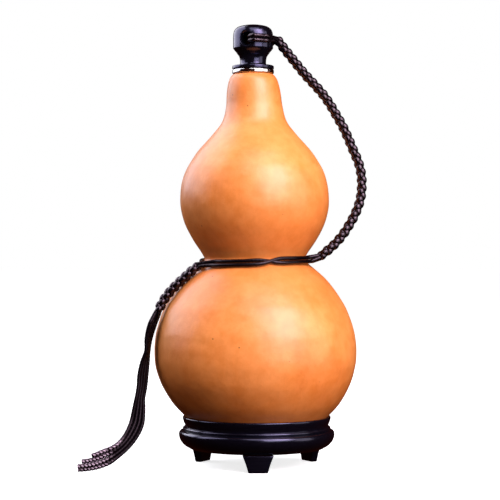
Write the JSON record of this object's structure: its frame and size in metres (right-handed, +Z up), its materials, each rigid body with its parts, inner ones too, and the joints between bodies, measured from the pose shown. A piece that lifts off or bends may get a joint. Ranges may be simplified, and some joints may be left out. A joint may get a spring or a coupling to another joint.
{
  "type": "dried bottle gourd",
  "caption": "Hollow double-lobed dried bottle gourd with a metal mouth collar, a turned knob stopper, a plaited cord and a turned stand with flat tapered legs.",
  "frame": {"origin": "on the surface that the stand's feet rest on, under the middle of the belly", "axes": "+Z up along the gourd, +X to the right as the front leg is seen, -Y towards the front leg"},
  "size_m": [0.1411, 0.1008, 0.2199],
  "materials": {
    "gourd_rind": "satin",
    "collar_steel": "polished",
    "stopper_black": "gloss",
    "stand_black": "gloss lacquer",
    "cord_nylon": "woven"
  },
  "bodies": {
    "root": {"gourd": "gourd_rind", "mouth_collar": "collar_steel", "stopper": "stopper_black", "stand_base": "stand_black", "stand_leg_front": "stand_black", "stand_leg_right": "stand_black", "stand_leg_left": "stand_black", "knob_loop_upper": "cord_nylon", "knob_loop_lower": "cord_nylon", "long_braid": "cord_nylon", "waist_cord_front_upper": "cord_nylon", "waist_cord_front_lower": "cord_nylon", "waist_cord_back_upper": "cord_nylon", "waist_cord_back_lower": "cord_nylon", "short_braid": "cord_nylon", "tail_cord_1": "cord_nylon", "tail_cord_2": "cord_nylon", "tail_cord_3": "cord_nylon", "tail_cord_4": "cord_nylon"}
  },
  "joints": []
}
